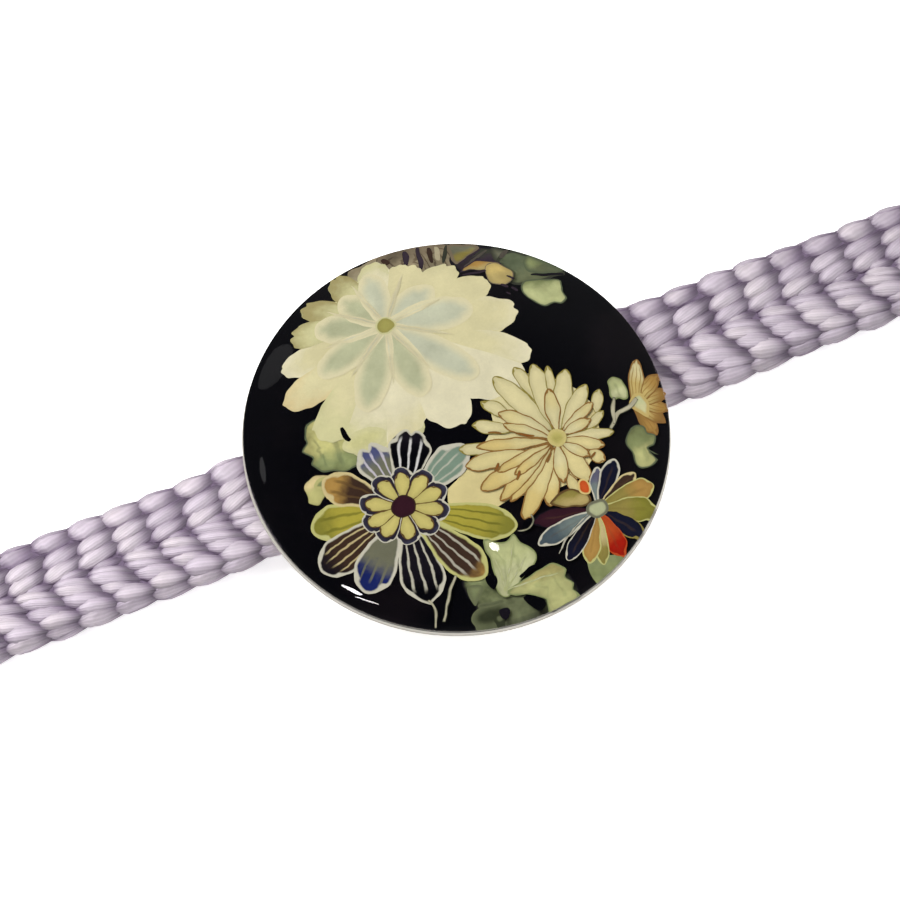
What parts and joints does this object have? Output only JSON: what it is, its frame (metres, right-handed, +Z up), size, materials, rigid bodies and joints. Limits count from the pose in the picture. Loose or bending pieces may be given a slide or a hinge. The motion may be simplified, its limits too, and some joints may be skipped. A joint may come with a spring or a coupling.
{
  "type": "obidome on a flat obijime braid",
  "caption": "Kimono sash cord ornament: a clear glass dome over a chrysanthemum print, its metal back fitting threaded on a short stretch of flat silk braid.",
  "frame": {"origin": "on the surface that the braid lies on, under the centre of the glass dome", "axes": "+X along the braid, +Y towards the far edge of the braid in the picture, +Z up through the dome"},
  "size_m": [0.092, 0.0352, 0.012],
  "materials": {
    "dome_glass": "clear and polished",
    "print": "flowers in cream, olive, teal and ochre printed on black, with a pale cut edge",
    "fitting_metal": "bright nickel plate, softly brushed",
    "silk": "braided lavender silk with a soft sheen"
  },
  "bodies": {
    "root": {"printed_disc": "print", "glass_dome": "dome_glass", "fitting": "fitting_metal", "braid_left": "silk", "braid_middle": "silk", "braid_right": "silk"}
  },
  "joints": []
}
